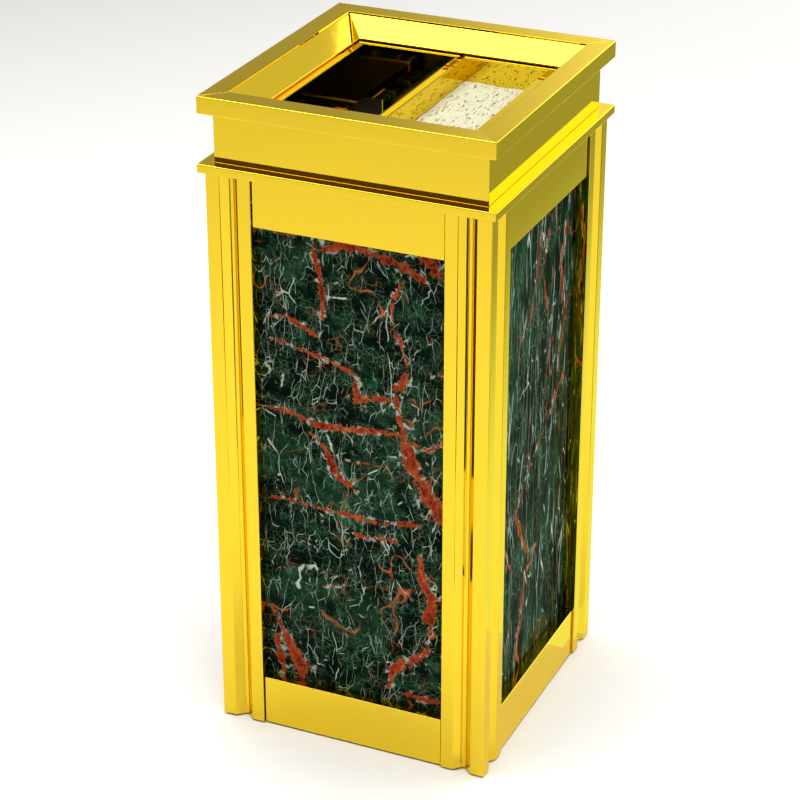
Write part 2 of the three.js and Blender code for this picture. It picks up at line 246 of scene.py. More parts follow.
def turned_copy(piece, name, place=(0, 0, 0), quarter_turns=0):
    """A copy with its own mesh, turned about the upright axis and put in its place."""
    hold(piece)
    bpy.ops.object.duplicate()
    twin = bpy.context.object
    twin.name = name
    twin.rotation_euler.z = quarter_turns * pi / 2
    twin.location = place
    bpy.ops.object.transform_apply(location=True, rotation=True, scale=True)
    return twin


def scrap(piece):
    """Take a pattern piece off the bench."""
    bpy.data.objects.remove(piece, do_unlink=True)


def fit(piece, finish, body, slot, *stands_for):
    """Give a piece its finish, and say what it rides on and which nodes it stands for."""
    piece.data.materials.clear()
    piece.data.materials.append(finish)
    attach(piece, body)
    if stands_for:
        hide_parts(*stands_for)


# %% Helpers: shader nodes
def put(tree, kind, **settings):
    """Add a node. Settings name its properties, or its inputs where there is no property."""
    node = tree.nodes.new("ShaderNode" + kind)
    for key, value in settings.items():
        if hasattr(node, key):
            setattr(node, key, value)
        else:
            node.inputs[key.replace("_", " ")].default_value = value
    return node


def sum_of(tree, operation, first, second=None, third=None):
    """A Math node on numbers or sockets."""
    node = put(tree, "Math", operation=operation)
    for place, value in enumerate((first, second, third)):
        if value is None:
            continue
        if isinstance(value, (int, float)):
            node.inputs[place].default_value = value
        else:
            tree.links.new(value, node.inputs[place])
    return node.outputs[0]


def ramp(tree, value, low, high, to_low=0.0, to_high=1.0):
    """A smooth step of a value from one range to another."""
    node = put(tree, "MapRange", interpolation_type="SMOOTHSTEP")
    tree.links.new(value, node.inputs["Value"])
    ends = {"From Min": low, "From Max": high, "To Min": to_low, "To Max": to_high}
    for key, number in ends.items():
        node.inputs[key].default_value = number
    return node.outputs["Result"]


MIX_SHARE, MIX_FIRST, MIX_SECOND, MIX_COLOUR = 0, 6, 7, 2  # a Mix node's colour sockets


def blend_colour(tree, amount, first, second):
    """Mix two colours, each given as a colour or a socket."""
    node = put(tree, "Mix", data_type="RGBA")
    for place, value in ((MIX_SHARE, amount), (MIX_FIRST, first), (MIX_SECOND, second)):
        if isinstance(value, (int, float, tuple)):
            node.inputs[place].default_value = value
        else:
            tree.links.new(value, node.inputs[place])
    return node.outputs[MIX_COLOUR]


def lay_colour(tree, under, mask, share, colour):
    """Lay a colour over another where a mask is, as strongly as the share says."""
    return blend_colour(tree, sum_of(tree, "MULTIPLY", mask, share), under, colour)


def new_finish(name, metallic, **settings):
    """A material with one Principled shader, whose constants are set on its own sockets."""
    finish = bpy.data.materials.new(name)
    finish.use_nodes = True
    shader = finish.node_tree.nodes["Principled BSDF"]
    shader.inputs["Metallic"].default_value = metallic
    for key, value in settings.items():
        shader.inputs[key.replace("_", " ")].default_value = value
    return finish, finish.node_tree, shader


print("bench is ready")

# %% [markdown]
# ## Effects that several finishes share
# Polished metal is never evenly bright: cloths leave a faint haze and hair-fine marks, and
# dust settles on what faces up. Each effect is made once as a node group that gives a mask,
# and each finish then decides what the mask does.

# %% Group: polish haze
def new_group(name, inputs, outputs):
    """A shader node group with named inputs (number or vector) and outputs."""
    group = bpy.data.node_groups.new(name, "ShaderNodeTree")
    for title, kind in inputs:
        group.interface.new_socket(title, in_out="INPUT", socket_type=kind)
    for title, kind in outputs:
        group.interface.new_socket(title, in_out="OUTPUT", socket_type=kind)
    return group, group.nodes.new("NodeGroupInput"), group.nodes.new("NodeGroupOutput")


NUMBER, VECTOR = "NodeSocketFloat", "NodeSocketVector"
haze, haze_in, haze_out = new_group(
    "polish haze",
    [("Position", VECTOR), ("Cloud Size", NUMBER), ("Mark Density", NUMBER)],
    [("Haze", NUMBER), ("Marks", NUMBER)],
)
cloud = put(haze, "TexNoise", Detail=4.0, Roughness=0.6)
haze.links.new(haze_in.outputs["Position"], cloud.inputs["Vector"])
haze.links.new(haze_in.outputs["Cloud Size"], cloud.inputs["Scale"])
haze.links.new(ramp(haze, cloud.outputs["Fac"], 0.42, 0.72), haze_out.inputs["Haze"])
stretch = put(haze, "Mapping", Scale=(1.0, 1.0, 0.06), Rotation=(0.5, 0.9, 0.3))
haze.links.new(haze_in.outputs["Position"], stretch.inputs["Vector"])
hairs = put(haze, "TexNoise", Detail=2.0, Roughness=0.5)
haze.links.new(stretch.outputs["Vector"], hairs.inputs["Vector"])
haze.links.new(haze_in.outputs["Mark Density"], hairs.inputs["Scale"])
haze.links.new(ramp(haze, hairs.outputs["Fac"], 0.60, 0.72), haze_out.inputs["Marks"])
print("group:", haze.name)

# %% Group: fine grain
grain, grain_in, grain_out = new_group(
    "fine grain",
    [("Position", VECTOR), ("Size", NUMBER)],
    [("Grain", NUMBER), ("Patches", NUMBER)],
)
speckle = put(grain, "TexNoise", Detail=3.0, Roughness=0.7)
grain.links.new(grain_in.outputs["Position"], speckle.inputs["Vector"])
grain.links.new(grain_in.outputs["Size"], speckle.inputs["Scale"])
grain.links.new(speckle.outputs["Fac"], grain_out.inputs["Grain"])
patch = put(grain, "TexNoise", Detail=2.0, Roughness=0.5, Scale=22.0)
grain.links.new(grain_in.outputs["Position"], patch.inputs["Vector"])
grain.links.new(patch.outputs["Fac"], grain_out.inputs["Patches"])
print("group:", grain.name)

# %% Group: settled dust
dust, dust_in, dust_out = new_group(
    "settled dust",
    [("Position", VECTOR), ("Amount", NUMBER)],
    [("Dust", NUMBER)],
)
slope = put(dust, "SeparateXYZ")
dust.links.new(put(dust, "NewGeometry").outputs["Normal"], slope.inputs[0])
lying = ramp(dust, slope.outputs["Z"], 0.55, 0.95)
drift = put(dust, "TexNoise", Detail=5.0, Roughness=0.65, Scale=38.0)
dust.links.new(dust_in.outputs["Position"], drift.inputs["Vector"])
thin = sum_of(dust, "MULTIPLY", lying, ramp(dust, drift.outputs["Fac"], 0.45, 0.75))
dust.links.new(sum_of(dust, "MULTIPLY", thin, dust_in.outputs["Amount"]), dust_out.inputs["Dust"])
print("group:", dust.name)


def use_group(tree, group, position, **values):
    """Place a group in a material, with its own values."""
    node = put(tree, "Group")
    node.node_tree = group
    tree.links.new(position, node.inputs["Position"])
    for key, value in values.items():
        node.inputs[key.replace("_", " ")].default_value = value
    return node


def object_place(tree):
    """The piece's own coordinates, in metres."""
    return put(tree, "TexCoord").outputs["Object"]


# %% [markdown]
# ## Gold mirror metal
# The frame is stainless steel sheet with a gold coating, polished to a mirror. Nearly all of
# what is seen on it is a reflection, so the colour sits in the metal's own base colour and
# the roughness is very low. The haze lifts the roughness a little in soft clouds, and the
# marks do so in hair lines, which is what makes a mirror look like metal and not like paint.

# %% Gold finish
def gold_finish(name, colour, haze_colour, roughness):
    """Mirror metal: its colour, its colour under haze, and its roughness where clean."""
    finish, tree, shader = new_finish(name, 1.0, Specular_Tint=(1.0, 0.93, 0.62, 1))
    place = object_place(tree)
    shine = use_group(tree, haze, place, Cloud_Size=9.0, Mark_Density=420.0)
    settled = use_group(tree, dust, place, Amount=0.5)
    tone = lay_colour(tree, colour, shine.outputs["Haze"], 0.35, haze_colour)
    tree.links.new(tone, shader.inputs["Base Color"])
    soft = sum_of(tree, "MULTIPLY_ADD", shine.outputs["Haze"], 0.025, roughness)
    soft = sum_of(tree, "MULTIPLY_ADD", shine.outputs["Marks"], 0.02, soft)
    soft = sum_of(tree, "MULTIPLY_ADD", settled.outputs["Dust"], 0.05, soft)
    tree.links.new(soft, shader.inputs["Roughness"])
    ripple = put(tree, "Bump", Strength=0.02, Distance=0.0004)
    tree.links.new(shine.outputs["Haze"], ripple.inputs["Height"])
    tree.links.new(ripple.outputs["Normal"], shader.inputs["Normal"])
    return finish


gold = gold_finish("gold mirror", (0.80, 0.565, 0.032, 1), (0.76, 0.54, 0.045, 1), 0.035)
print("finish:", gold.name)

# %% [markdown]
# ## Green marble
# The stone is a breccia: near-black green rock that broke, and healed with white calcite in
# the cracks and rust-red clay in the wide ones. Cell edges of a Voronoi texture, bent by
# noise, give the web of cracks. The wide red bands are too important to leave to chance, so
# they are drawn as strokes across the slab, each a bent line with a width at every point. How
# far a spot lies from its nearest stroke, counted in widths, is kept in the mesh as an
# attribute named "vein", and noise in the finish frays the edge of the band. The open cracks
# lean two ways, so that the web doesn't look like a net. Dark stone goes milky when it
# mirrors a bright room, so its shine is kept far below that of real polished stone.

# %% Marble finish
STONE_DARK = (0.0024, 0.0075, 0.0045, 1)
STONE_GREEN = (0.009, 0.038, 0.018, 1)
STONE_BRIGHT = (0.022, 0.140, 0.058, 1)
CALCITE = (0.58, 0.72, 0.60, 1)
CALCITE_DIM = (0.11, 0.23, 0.13, 1)
RUST = (0.37, 0.043, 0.015, 1)
RUST_DARK = (0.13, 0.012, 0.007, 1)
RUST_PALE = (0.54, 0.15, 0.045, 1)
STONE_SHINE = 0.003
STONE_IOR = 1.52


def noise(tree, place, scale, detail=4.0, rough=0.55, output="Fac"):
    """A noise pattern on a place, as a number or as a colour."""
    node = put(tree, "TexNoise", Scale=scale, Detail=detail, Roughness=rough)
    tree.links.new(place, node.inputs["Vector"])
    return node.outputs[output]


def bent_place(tree, place, scale, amount, detail=3.0):
    """A place pushed about by noise, so that what is drawn on it wanders."""
    push = put(tree, "VectorMath", operation="MULTIPLY_ADD")
    tree.links.new(noise(tree, place, scale, detail, output="Color"), push.inputs[0])
    push.inputs[1].default_value = (amount, amount, amount)
    push.inputs[2].default_value = (-amount / 2, -amount / 2, -amount / 2)
    shifted = put(tree, "VectorMath", operation="ADD")
    tree.links.new(place, shifted.inputs[0])
    tree.links.new(push.outputs[0], shifted.inputs[1])
    return shifted.outputs[0]


def crack_web(tree, place, cells, width, patches, low, high):
    """The thin edges between bent cells, kept only in patches."""
    cell = put(tree, "TexVoronoi", feature="DISTANCE_TO_EDGE", Scale=cells)
    tree.links.new(place, cell.inputs["Vector"])
    line = ramp(tree, cell.outputs["Distance"], width * 0.25, width, 1.0, 0.0)
    kept = ramp(tree, noise(tree, place, patches, 3.0), low, high)
    return sum_of(tree, "MULTIPLY", line, kept)


def marble_finish(name, across_axis, seed, greenness, upright_run):
    """Marble for one slab, cut from its own part of the rock by the seed.
    An upright run below one draws the cracks out along the slab's height."""
    finish, tree, shader = new_finish(name, 0.0, Specular_IOR_Level=STONE_SHINE, IOR=STONE_IOR)
    axes = put(tree, "SeparateXYZ")
    tree.links.new(object_place(tree), axes.inputs[0])
    flat = put(tree, "CombineXYZ", Y=seed)
    tree.links.new(axes.outputs[across_axis], flat.inputs["X"])
    tree.links.new(axes.outputs["Z"], flat.inputs["Z"])
    run = put(tree, "Mapping", Scale=(1.0, 1.0, upright_run))
    tree.links.new(flat.outputs[0], run.inputs["Vector"])
    slab = run.outputs[0]
    wander = bent_place(tree, slab, 16.0, 0.022)
    frayed = bent_place(tree, wander, 80.0, 0.0026, 4.0)
    crazed = bent_place(tree, wander, 55.0, 0.0032, 2.0)

    # The rock itself
    clouds = noise(tree, wander, 15.0, 6.0, 0.62)
    greener = ramp(tree, clouds, 0.50 - greenness, 0.66 - greenness)
    body = blend_colour(tree, greener, STONE_DARK, STONE_GREEN)
    bright = ramp(tree, noise(tree, frayed, 34.0, 6.0, 0.7), 0.56 - greenness / 2, 0.78)
    body = lay_colour(tree, body, bright, 0.8, STONE_BRIGHT)

    # The web of cracks, from hair lines to open seams, leaning two ways
    leaning = []
    for lean, squeeze in ((0.65, 0.30), (-0.95, 0.36)):
        lay = put(tree, "Mapping", Scale=(1.0, 1.0, squeeze), Rotation=(0.0, lean, 0.0))
        tree.links.new(frayed, lay.inputs["Vector"])
        leaning.append(lay.outputs["Vector"])
    hair = crack_web(tree, frayed, 330.0, 0.080, 60.0, 0.46, 0.60)
    fine = crack_web(tree, crazed, 165.0, 0.042, 50.0, 0.45, 0.56)
    splits = crack_web(tree, leaning[0], 104.0, 0.019, 110.0, 0.48, 0.58)
    cross_splits = crack_web(tree, leaning[1], 90.0, 0.017, 96.0, 0.49, 0.59)
    bold = crack_web(tree, leaning[1], 36.0, 0.017, 62.0, 0.54, 0.60)
    for cracks, share, colour in (
        (hair, 0.42, CALCITE_DIM),
        (fine, 0.70, CALCITE_DIM),
        (splits, 0.80, CALCITE),
        (cross_splits, 0.70, CALCITE),
        (bold, 0.90, CALCITE),
    ):
        body = lay_colour(tree, body, cracks, share, colour)
    streaky = put(tree, "Mapping", Scale=(1.0, 1.0, 0.42), Rotation=(0.0, 0.35, 0.0))
    tree.links.new(frayed, streaky.inputs["Vector"])
    flakes = ramp(tree, noise(tree, streaky.outputs[0], 62.0, 4.0, 0.62), 0.70, 0.735)
    body = lay_colour(tree, body, flakes, 0.85, CALCITE)

    # Rust: thin wandering lines, then the drawn strokes
    crossing = sum_of(tree, "SUBTRACT", noise(tree, wander, 9.0, 3.0, 0.45), 0.5)
    thread = ramp(tree, sum_of(tree, "ABSOLUTE", crossing), 0.001, 0.006, 1.0, 0.0)
    kept = ramp(tree, noise(tree, wander, 24.0, 2.0), 0.50, 0.60)
    body = lay_colour(tree, body, sum_of(tree, "MULTIPLY", thread, kept), 0.75, RUST_PALE)
    stroke = put(tree, "Attribute", attribute_name="vein")
    distance = stroke.outputs["Fac"]
    pinch = sum_of(tree, "MULTIPLY_ADD", noise(tree, slab, 52.0, 2.0, 0.5), 2.4, -1.25)
    tear = sum_of(tree, "MULTIPLY_ADD", noise(tree, slab, 150.0, 7.0, 0.80), 4.4, -2.25)
    tear = sum_of(tree, "ADD", tear, pinch)
    chip = put(tree, "TexVoronoi", Scale=260.0)
    tree.links.new(frayed, chip.inputs["Vector"])
    tear = sum_of(tree, "MULTIPLY_ADD", chip.outputs["Distance"], 0.9, tear)
    torn = sum_of(tree, "ADD", distance, tear)
    band = ramp(tree, torn, 1.00, 1.16, 1.0, 0.0)
    rim_glow = ramp(tree, torn, 0.45, 1.05)
    halo = ramp(tree, torn, 1.0, 2.6, 1.0, 0.0)
    broken = sum_of(tree, "MULTIPLY", halo, ramp(tree, noise(tree, frayed, 130.0, 3.0), 0.55, 0.63))
    streaks = noise(tree, streaky.outputs[0], 150.0, 6.0, 0.75)
    rust = blend_colour(tree, ramp(tree, streaks, 0.40, 0.53), RUST_DARK, RUST)
    rust = lay_colour(tree, rust, rim_glow, 0.5, RUST_PALE)
    rust = blend_colour(tree, ramp(tree, streaks, 0.56, 0.63), rust, RUST_PALE)
    rust = lay_colour(tree, rust, ramp(tree, streaks, 0.64, 0.70), 0.8, STONE_GREEN)
    body = lay_colour(tree, body, broken, 0.8, CALCITE)
    body = blend_colour(tree, band, body, rust)
    scatter = crack_web(tree, crazed, 90.0, 0.032, 40.0, 0.54, 0.62)
    body = lay_colour(tree, body, scatter, 0.45, RUST_PALE)
    tree.links.new(body, shader.inputs["Base Color"])

    # The clay takes less polish than the rock
    polish = use_group(tree, haze, object_place(tree), Cloud_Size=14.0, Mark_Density=300.0)
    rough = sum_of(tree, "MULTIPLY_ADD", band, 0.10, 0.05)
    rough = sum_of(tree, "MULTIPLY_ADD", polish.outputs["Haze"], 0.03, rough)
    tree.links.new(rough, shader.inputs["Roughness"])
    pits = put(tree, "Bump", Strength=0.10, Distance=0.0002)
    tree.links.new(sum_of(tree, "SUBTRACT", bold, band), pits.inputs["Height"])
    tree.links.new(pits.outputs["Normal"], shader.inputs["Normal"])
    return finish


# %% Vein strokes of the four slabs
# A stroke is a row of points: the share across, the share up, half the width in millimetres.
FRONT_STROKES = [
    [(0.02, 0.985, 1.5), (0.26, 0.99, 2.5)],
    [(0.27, 0.99, 1.5), (0.30, 0.94, 2.5), (0.33, 0.87, 4.0), (0.33, 0.82, 2.5)],
    [(0.32, 0.965, 1.5), (0.46, 0.985, 5.0), (0.61, 0.975, 4.5), (0.75, 0.96, 4.0), (0.87, 0.945, 3.0)],
    [(0.84, 0.99, 5.0), (0.93, 0.965, 8.0)],
    [(0.76, 0.93, 4.0), (0.71, 0.89, 3.0), (0.71, 0.84, 1.5), (0.78, 0.76, 2.5), (0.74, 0.71, 7.0)],
    [(0.72, 0.69, 3.0), (0.75, 0.63, 5.0), (0.79, 0.56, 8.0), (0.87, 0.50, 9.0), (0.97, 0.44, 8.0)],
    [(0.02, 0.80, 2.0), (0.13, 0.815, 2.0), (0.29, 0.79, 3.5)],
    [(0.06, 0.76, 1.0), (0.30, 0.745, 1.8), (0.50, 0.72, 3.0), (0.53, 0.67, 6.0), (0.71, 0.68, 2.0)],
    [(0.02, 0.615, 1.8), (0.26, 0.60, 3.0), (0.46, 0.60, 3.5),
     (0.73, 0.61, 2.5), (0.89, 0.59, 2.0), (1.0, 0.62, 2.5)],
    [(0.21, 0.595, 1.2), (0.34, 0.545, 3.0), (0.38, 0.50, 4.0), (0.51, 0.46, 2.0)],
    [(0.39, 0.53, 1.0), (0.72, 0.53, 1.0)],
    [(0.03, 0.415, 1.8), (0.33, 0.41, 1.8), (0.57, 0.405, 3.0), (0.84, 0.415, 2.0)],
    [(0.50, 0.366, 3.0), (0.72, 0.368, 2.5)],
    [(0.85, 0.35, 2.0), (0.87, 0.30, 5.0), (0.93, 0.26, 5.0), (0.90, 0.21, 4.0)],
    [(0.89, 0.14, 3.0), (0.79, 0.10, 6.0), (0.70, 0.07, 4.5), (0.67, 0.03, 3.0)],
    [(0.03, 0.16, 2.5), (0.08, 0.11, 4.0), (0.17, 0.05, 6.0), (0.20, 0.01, 7.0)],
    [(0.05, 0.09, 3.0), (0.08, 0.01, 4.0)],
    [(0.33, 0.235, 1.0), (0.58, 0.255, 1.0)],
    [(0.76, 0.02, 3.0), (0.98, 0.02, 3.0)],
]
RIGHT_STROKES = [
    [(0.91, 0.58, 2.5), (0.70, 0.51, 1.6), (0.46, 0.44, 1.4),
     (0.31, 0.37, 2.4), (0.50, 0.24, 2.4), (0.34, 0.06, 1.8)],
    [(0.58, 0.97, 1.6), (0.52, 0.88, 2.0), (0.44, 0.76, 2.2)],
    [(0.66, 0.93, 2.6), (0.60, 0.86, 1.4), (0.66, 0.77, 2.0)],
    [(0.93, 0.97, 2.2), (0.84, 0.83, 2.6), (0.90, 0.70, 2.2), (0.84, 0.60, 1.6)],
    [(0.07, 0.43, 2.4), (0.12, 0.35, 1.6), (0.26, 0.26, 1.8)],
]
BACK_STROKES = [
    [(0.05, 0.90, 3.0), (0.28, 0.82, 5.0), (0.46, 0.84, 2.5), (0.74, 0.73, 5.5), (0.98, 0.70, 3.0)],
    [(0.28, 0.82, 3.0), (0.24, 0.64, 2.0), (0.38, 0.52, 6.0), (0.34, 0.38, 2.5)],
    [(0.98, 0.48, 2.0), (0.66, 0.44, 3.0), (0.38, 0.50, 2.0)],
    [(0.66, 0.44, 3.5), (0.72, 0.28, 7.0), (0.62, 0.12, 5.0), (0.66, 0.02, 3.0)],
    [(0.04, 0.26, 2.0), (0.30, 0.22, 3.0), (0.62, 0.14, 2.0)],
]
LEFT_STROKES = [
    [(0.10, 0.99, 4.0), (0.22, 0.86, 5.0), (0.18, 0.74, 2.5), (0.36, 0.60, 5.0), (0.30, 0.46, 3.0)],
    [(0.22, 0.86, 2.0), (0.58, 0.90, 2.5), (0.96, 0.84, 3.5)],
    [(0.30, 0.46, 3.0), (0.60, 0.40, 4.0), (0.78, 0.24, 7.0), (0.96, 0.20, 3.0)],
    [(0.05, 0.30, 2.0), (0.34, 0.26, 2.0), (0.46, 0.10, 4.5), (0.40, 0.01, 3.0)],
]
print("strokes on the front slab:", len(FRONT_STROKES))

# %% [markdown]
# ## Corner posts
# Each corner is one long sheet folded thirteen times: a square outer bar, a groove and a flat
# strip on both faces, and a hidden lip behind the stone. It could be cut from a solid bar, but
# pulling one flap after another from a narrow plate makes the same folds that the press brake
# made. It is modelled once, at the origin, and copied to the four corners.

# %% One post, folded flap by flap
SHEET = 1.5 * MM
FOLD = 0.7 * MM
post_low, post_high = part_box("corner_post_front_left")
base, top = post_low.z, post_high.z
wide = post_high.x - post_low.x
bar, floor_start, floor_end, groove_end = 13 * MM, 20 * MM, 23 * MM, 30 * MM
depth, groove = 13 * MM, 7 * MM
lip = 8 * MM

lay_plate("post_pattern", (wide - lip, depth, base), (wide, depth, top), "+y")
pick_edges(lambda p: p.x > wide - NEAR)
half_folds = [
    (0, -depth),
    (groove_end - wide, 0),
    (floor_end - groove_end, groove),
    (floor_start - floor_end, 0),
    (bar - floor_start, -groove),
    (-bar, 0),
]
for right, inward in half_folds:
    fold_by(right, inward, 0)
for right, inward in reversed(half_folds):
    fold_by(-inward, -right, 0)
fold_by(0, -lip, 0)
post_pattern = finish_sheet(SHEET, FOLD)

# %% Four posts
CORNERS = [
    ("front_left", -1, -1, 0),
    ("front_right", 1, -1, 1),
    ("back_right", 1, 1, 2),
    ("back_left", -1, 1, 3),
]
for corner, side_x, side_y, turns in CORNERS:
    place = (side_x * abs(post_low.x), side_y * abs(post_low.y), 0)
    post = turned_copy(post_pattern, f"folded_post_{corner}", place, turns)
    fit(post, gold, "body", "gold_metal", f"corner_post_{corner}")
scrap(post_pattern)
print("posts stand from", round(base, 4), "to", round(top, 4))

# %% [markdown]
# ## Rails
# The rails close each face above and below the stone. Each is one strip: a flange, the flat
# face, a return that frames the stone, and a short stiffening lip. They are folded the same
# way as the posts, once for the narrow faces and once for the wide ones, and then turned
# half round for the opposite face. They stop just short of the posts, because an open seam
# catches the dark and a tight one can't be seen.

# %% Top and bottom rails
FACES = [("front", "back", 0), ("right", "left", 1)]
RAIL_FLANGE = 13 * MM
RETURN_DEEP = 11 * MM
RAIL_LIP = 8 * MM
SEAM = 0.7 * MM


def fold_rail(name, half_length, face_y, flange_z, drop, lip_step):
    """A rail along the front: its flange first, then face, return and lip."""
    half_length -= SEAM
    flange_facing = "+z" if drop < 0 else "-z"
    near_corner = (-half_length, face_y, flange_z)
    far_corner = (half_length, face_y + RAIL_FLANGE, flange_z)
    lay_plate(name, near_corner, far_corner, flange_facing)
    pick_edges(lambda p: p.y < face_y + NEAR)
    fold_by(0, 0, drop)
    fold_by(0, RETURN_DEEP, 0)
    fold_by(0, 0, lip_step)
    return finish_sheet(SHEET, FOLD)


for near_side, far_side, turns in FACES:
    for level in ("top", "bottom"):
        low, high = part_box(f"{level}_rail_{near_side}")
        if near_side == "front":
            half_length, face_y = high.x, low.y
        else:
            half_length, face_y = high.y, -high.x
        tall = high.z - low.z
        if level == "top":
            rail = fold_rail("rail_pattern", half_length, face_y, high.z, -tall, RAIL_LIP)
        else:
            rail = fold_rail("rail_pattern", half_length, face_y, low.z, tall, -RAIL_LIP)
        for side, extra in ((near_side, 0), (far_side, 2)):
            strip = turned_copy(rail, f"folded_{level}_rail_{side}", (0, 0, 0), turns + extra)
            fit(strip, gold, "body", "gold_metal", f"{level}_rail_{side}")
        scrap(rail)

# %% [markdown]
# ## Stone panels
# A slab is a sawn block with its edges eased by hand, or they would chip. A box is the right
# start, and a two-step bevel on every edge gives the eased arris. Each slab has its own
# marble, because neighbouring slabs are never the same, and a pattern in the stone's own
# coordinates runs on through its thickness.

# %% Helper: draw the veins on a slab
LAP = 7 * MM
VEIN_SEED = 11
rock_noise.seed_set(VEIN_SEED)  # unseeded, this noise bends the veins anew on every run
FACE_WAYS = {
    "front": Vector((0, -1, 0)),
    "right": Vector((1, 0, 0)),
    "back": Vector((0, 1, 0)),
    "left": Vector((-1, 0, 0)),
}


def in_widths(spot, start, end):
    """How many widths a spot lies from one length of a stroke."""
    course = end[0] - start[0]
    along = min(max((spot - start[0]).dot(course) / course.length_squared, 0.0), 1.0)
    width = start[1] + (end[1] - start[1]) * along
    return (spot - start[0] - course * along).length / width


def draw_veins(slab, axis, room, strokes):
    """Keep, at every point of the slab, its distance to the nearest stroke in widths."""
    bpy.ops.object.mode_set(mode="OBJECT")
    (left, foot), (right, head) = room
    lengths = []
    for stroke in strokes:
        points = [
            (Vector((left + across * (right - left), foot + up * (head - foot))), half_width * MM)
            for across, up, half_width in stroke
        ]
        lengths += list(zip(points, points[1:]))
    values = []
    for vertex in slab.data.vertices:
        # Broad bends, then fine ones, so that no stroke runs straight
        spot = Vector((vertex.co[axis], vertex.co.z))
        bend = rock_noise.noise_vector(vertex.co * 38.0) * 3.2 * MM
        bend += rock_noise.noise_vector(vertex.co * 140.0) * 1.1 * MM
        spot += Vector((bend.x, bend.y))
        values.append(min(in_widths(spot, start, end) for start, end in lengths))
    veins = slab.data.attributes.new("vein", "FLOAT", "POINT")
    veins.data.foreach_set("value", values)


# %% Four slabs
ARRIS = 0.8 * MM
VEIN_CUTS = 95
PANEL_LOOKS = [
    ("front", "X", FRONT_STROKES, 3.1, 0.01, 1.0),
    ("right", "Y", RIGHT_STROKES, 7.4, 0.05, 0.34),
    ("back", "X", BACK_STROKES, 11.8, 0.02, 0.9),
    ("left", "Y", LEFT_STROKES, 16.3, 0.03, 0.6),
]
for side, across_axis, strokes, seed, greenness, upright_run in PANEL_LOOKS:
    low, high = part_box(f"marble_panel_{side}")
    clear_bench()
    bpy.ops.mesh.primitive_cube_add(size=1, location=(low + high) / 2)
    slab = bpy.context.object
    slab.name = f"stone_slab_{side}"
    bpy.ops.object.transform_apply(location=True, rotation=True, scale=True)
    bpy.ops.object.mode_set(mode="EDIT")
    bpy.ops.mesh.select_all(action="SELECT")
    stretch_to(low, high)
    bpy.ops.mesh.bevel(offset=ARRIS, segments=2, affect="EDGES")
    axis = "XY".index(across_axis)
    room = ((low[axis] + LAP, low.z + LAP), (high[axis] - LAP, high.z - LAP))
    # Halved at mid height, so that the squares of the fine mesh come out less tall
    bpy.ops.mesh.select_all(action="SELECT")
    bpy.ops.mesh.bisect(plane_co=(low + high) / 2, plane_no=(0, 0, 1))
    outer = FACE_WAYS[side]
    pick_faces(lambda middle, normal: normal.dot(outer) > 0.99)
    bpy.ops.mesh.subdivide(number_cuts=VEIN_CUTS)
    draw_veins(slab, axis, room, strokes)
    settle_light(slab)
    stone = marble_finish(f"marble {side}", across_axis, seed, greenness, upright_run)
    fit(slab, stone, "body", "marble", f"marble_panel_{side}")
    print(slab.name, "spans", [round(v, 3) for v in high - low])

# %% [markdown]
# ## Ring-shaped folds
# The ledge, the rim, the neck, the hopper and both wells run right round a rectangle. A ring
# of edges is drawn for the first line of the fold, then pulled, scaled and moved to each next
# line. That keeps the mitres at the corners true, which a strip bent round would not.

# %% Helper: a skin drawn ring by ring
def rectangle(half_x, half_y, inset=0.0):
    """The left, right, front and back of a rectangle about the bin's axis."""
    across, deep = half_x - inset, half_y - inset
    return -across, across, -deep, deep


def draw_rings(name, rings, closed_floor=False):
    """Rings are (rectangle, height). Each is pulled from the one before."""
    (left, right, front, back), height = rings[0]
    lay_plate(name, (left, front, height), (right, back, height), "+z")
    bpy.ops.mesh.delete(type="ONLY_FACE")
    bpy.ops.mesh.select_mode(type="EDGE")
    bpy.ops.mesh.select_all(action="SELECT")
    for (old, old_height), (new, new_height) in zip(rings, rings[1:]):
        old_middle = Vector(((old[0] + old[1]) / 2, (old[2] + old[3]) / 2, old_height))
        new_middle = Vector(((new[0] + new[1]) / 2, (new[2] + new[3]) / 2, new_height))
        growth = ((new[1] - new[0]) / (old[1] - old[0]), (new[3] - new[2]) / (old[3] - old[2]), 1)
        bpy.ops.mesh.extrude_region_move()
        bpy.ops.transform.resize(value=growth, center_override=old_middle)
        bpy.ops.transform.translate(value=new_middle - old_middle)
    if closed_floor:
        bpy.ops.mesh.edge_face_add()
    face_outward(2)
    return bpy.context.object


# %% Helper: saw the mitre lines
KERF = 0.28 * MM
KERF_DEPTH = 0.5 * MM
CORNER_BITE = 1.4 * MM
CORNER_INSET = 0.1 * MM
OVERRUN = 2 * MM


def saw_mitres(piece, half_x, half_y, land, height, drop):
    """Cut a hair-thin line on the diagonal of each corner, on top and down the corner."""
    cutters = []
    for side_x in (-1, 1):
        for side_y in (-1, 1):
            turn = pi / 4 * side_x * side_y
            middle = (side_x * (half_x - land / 2), side_y * (half_y - land / 2), height)
            long = (land + 2 * OVERRUN) * 2 ** 0.5
            bars = [(middle, (long, KERF, 2 * KERF_DEPTH))]
            edge_x, edge_y = side_x * (half_x - CORNER_INSET), side_y * (half_y - CORNER_INSET)
            bars.append(((edge_x, edge_y, height - drop / 2), (CORNER_BITE, KERF, drop + OVERRUN)))
            for spot, size in bars:
                clear_bench()
                bpy.ops.mesh.primitive_cube_add(
                    size=1, location=spot, rotation=(0, 0, turn), scale=size
                )
                bpy.ops.object.transform_apply(location=True, rotation=True, scale=True)
                cutters.append(bpy.context.object)
    for blade in cutters:
        add_modifier(piece, "BOOLEAN", object=blade, operation="DIFFERENCE", solver="MANIFOLD")
        scrap(blade)
    settle_light(piece)
    print(piece.name, "has its mitre lines and", len(piece.data.polygons), "faces")


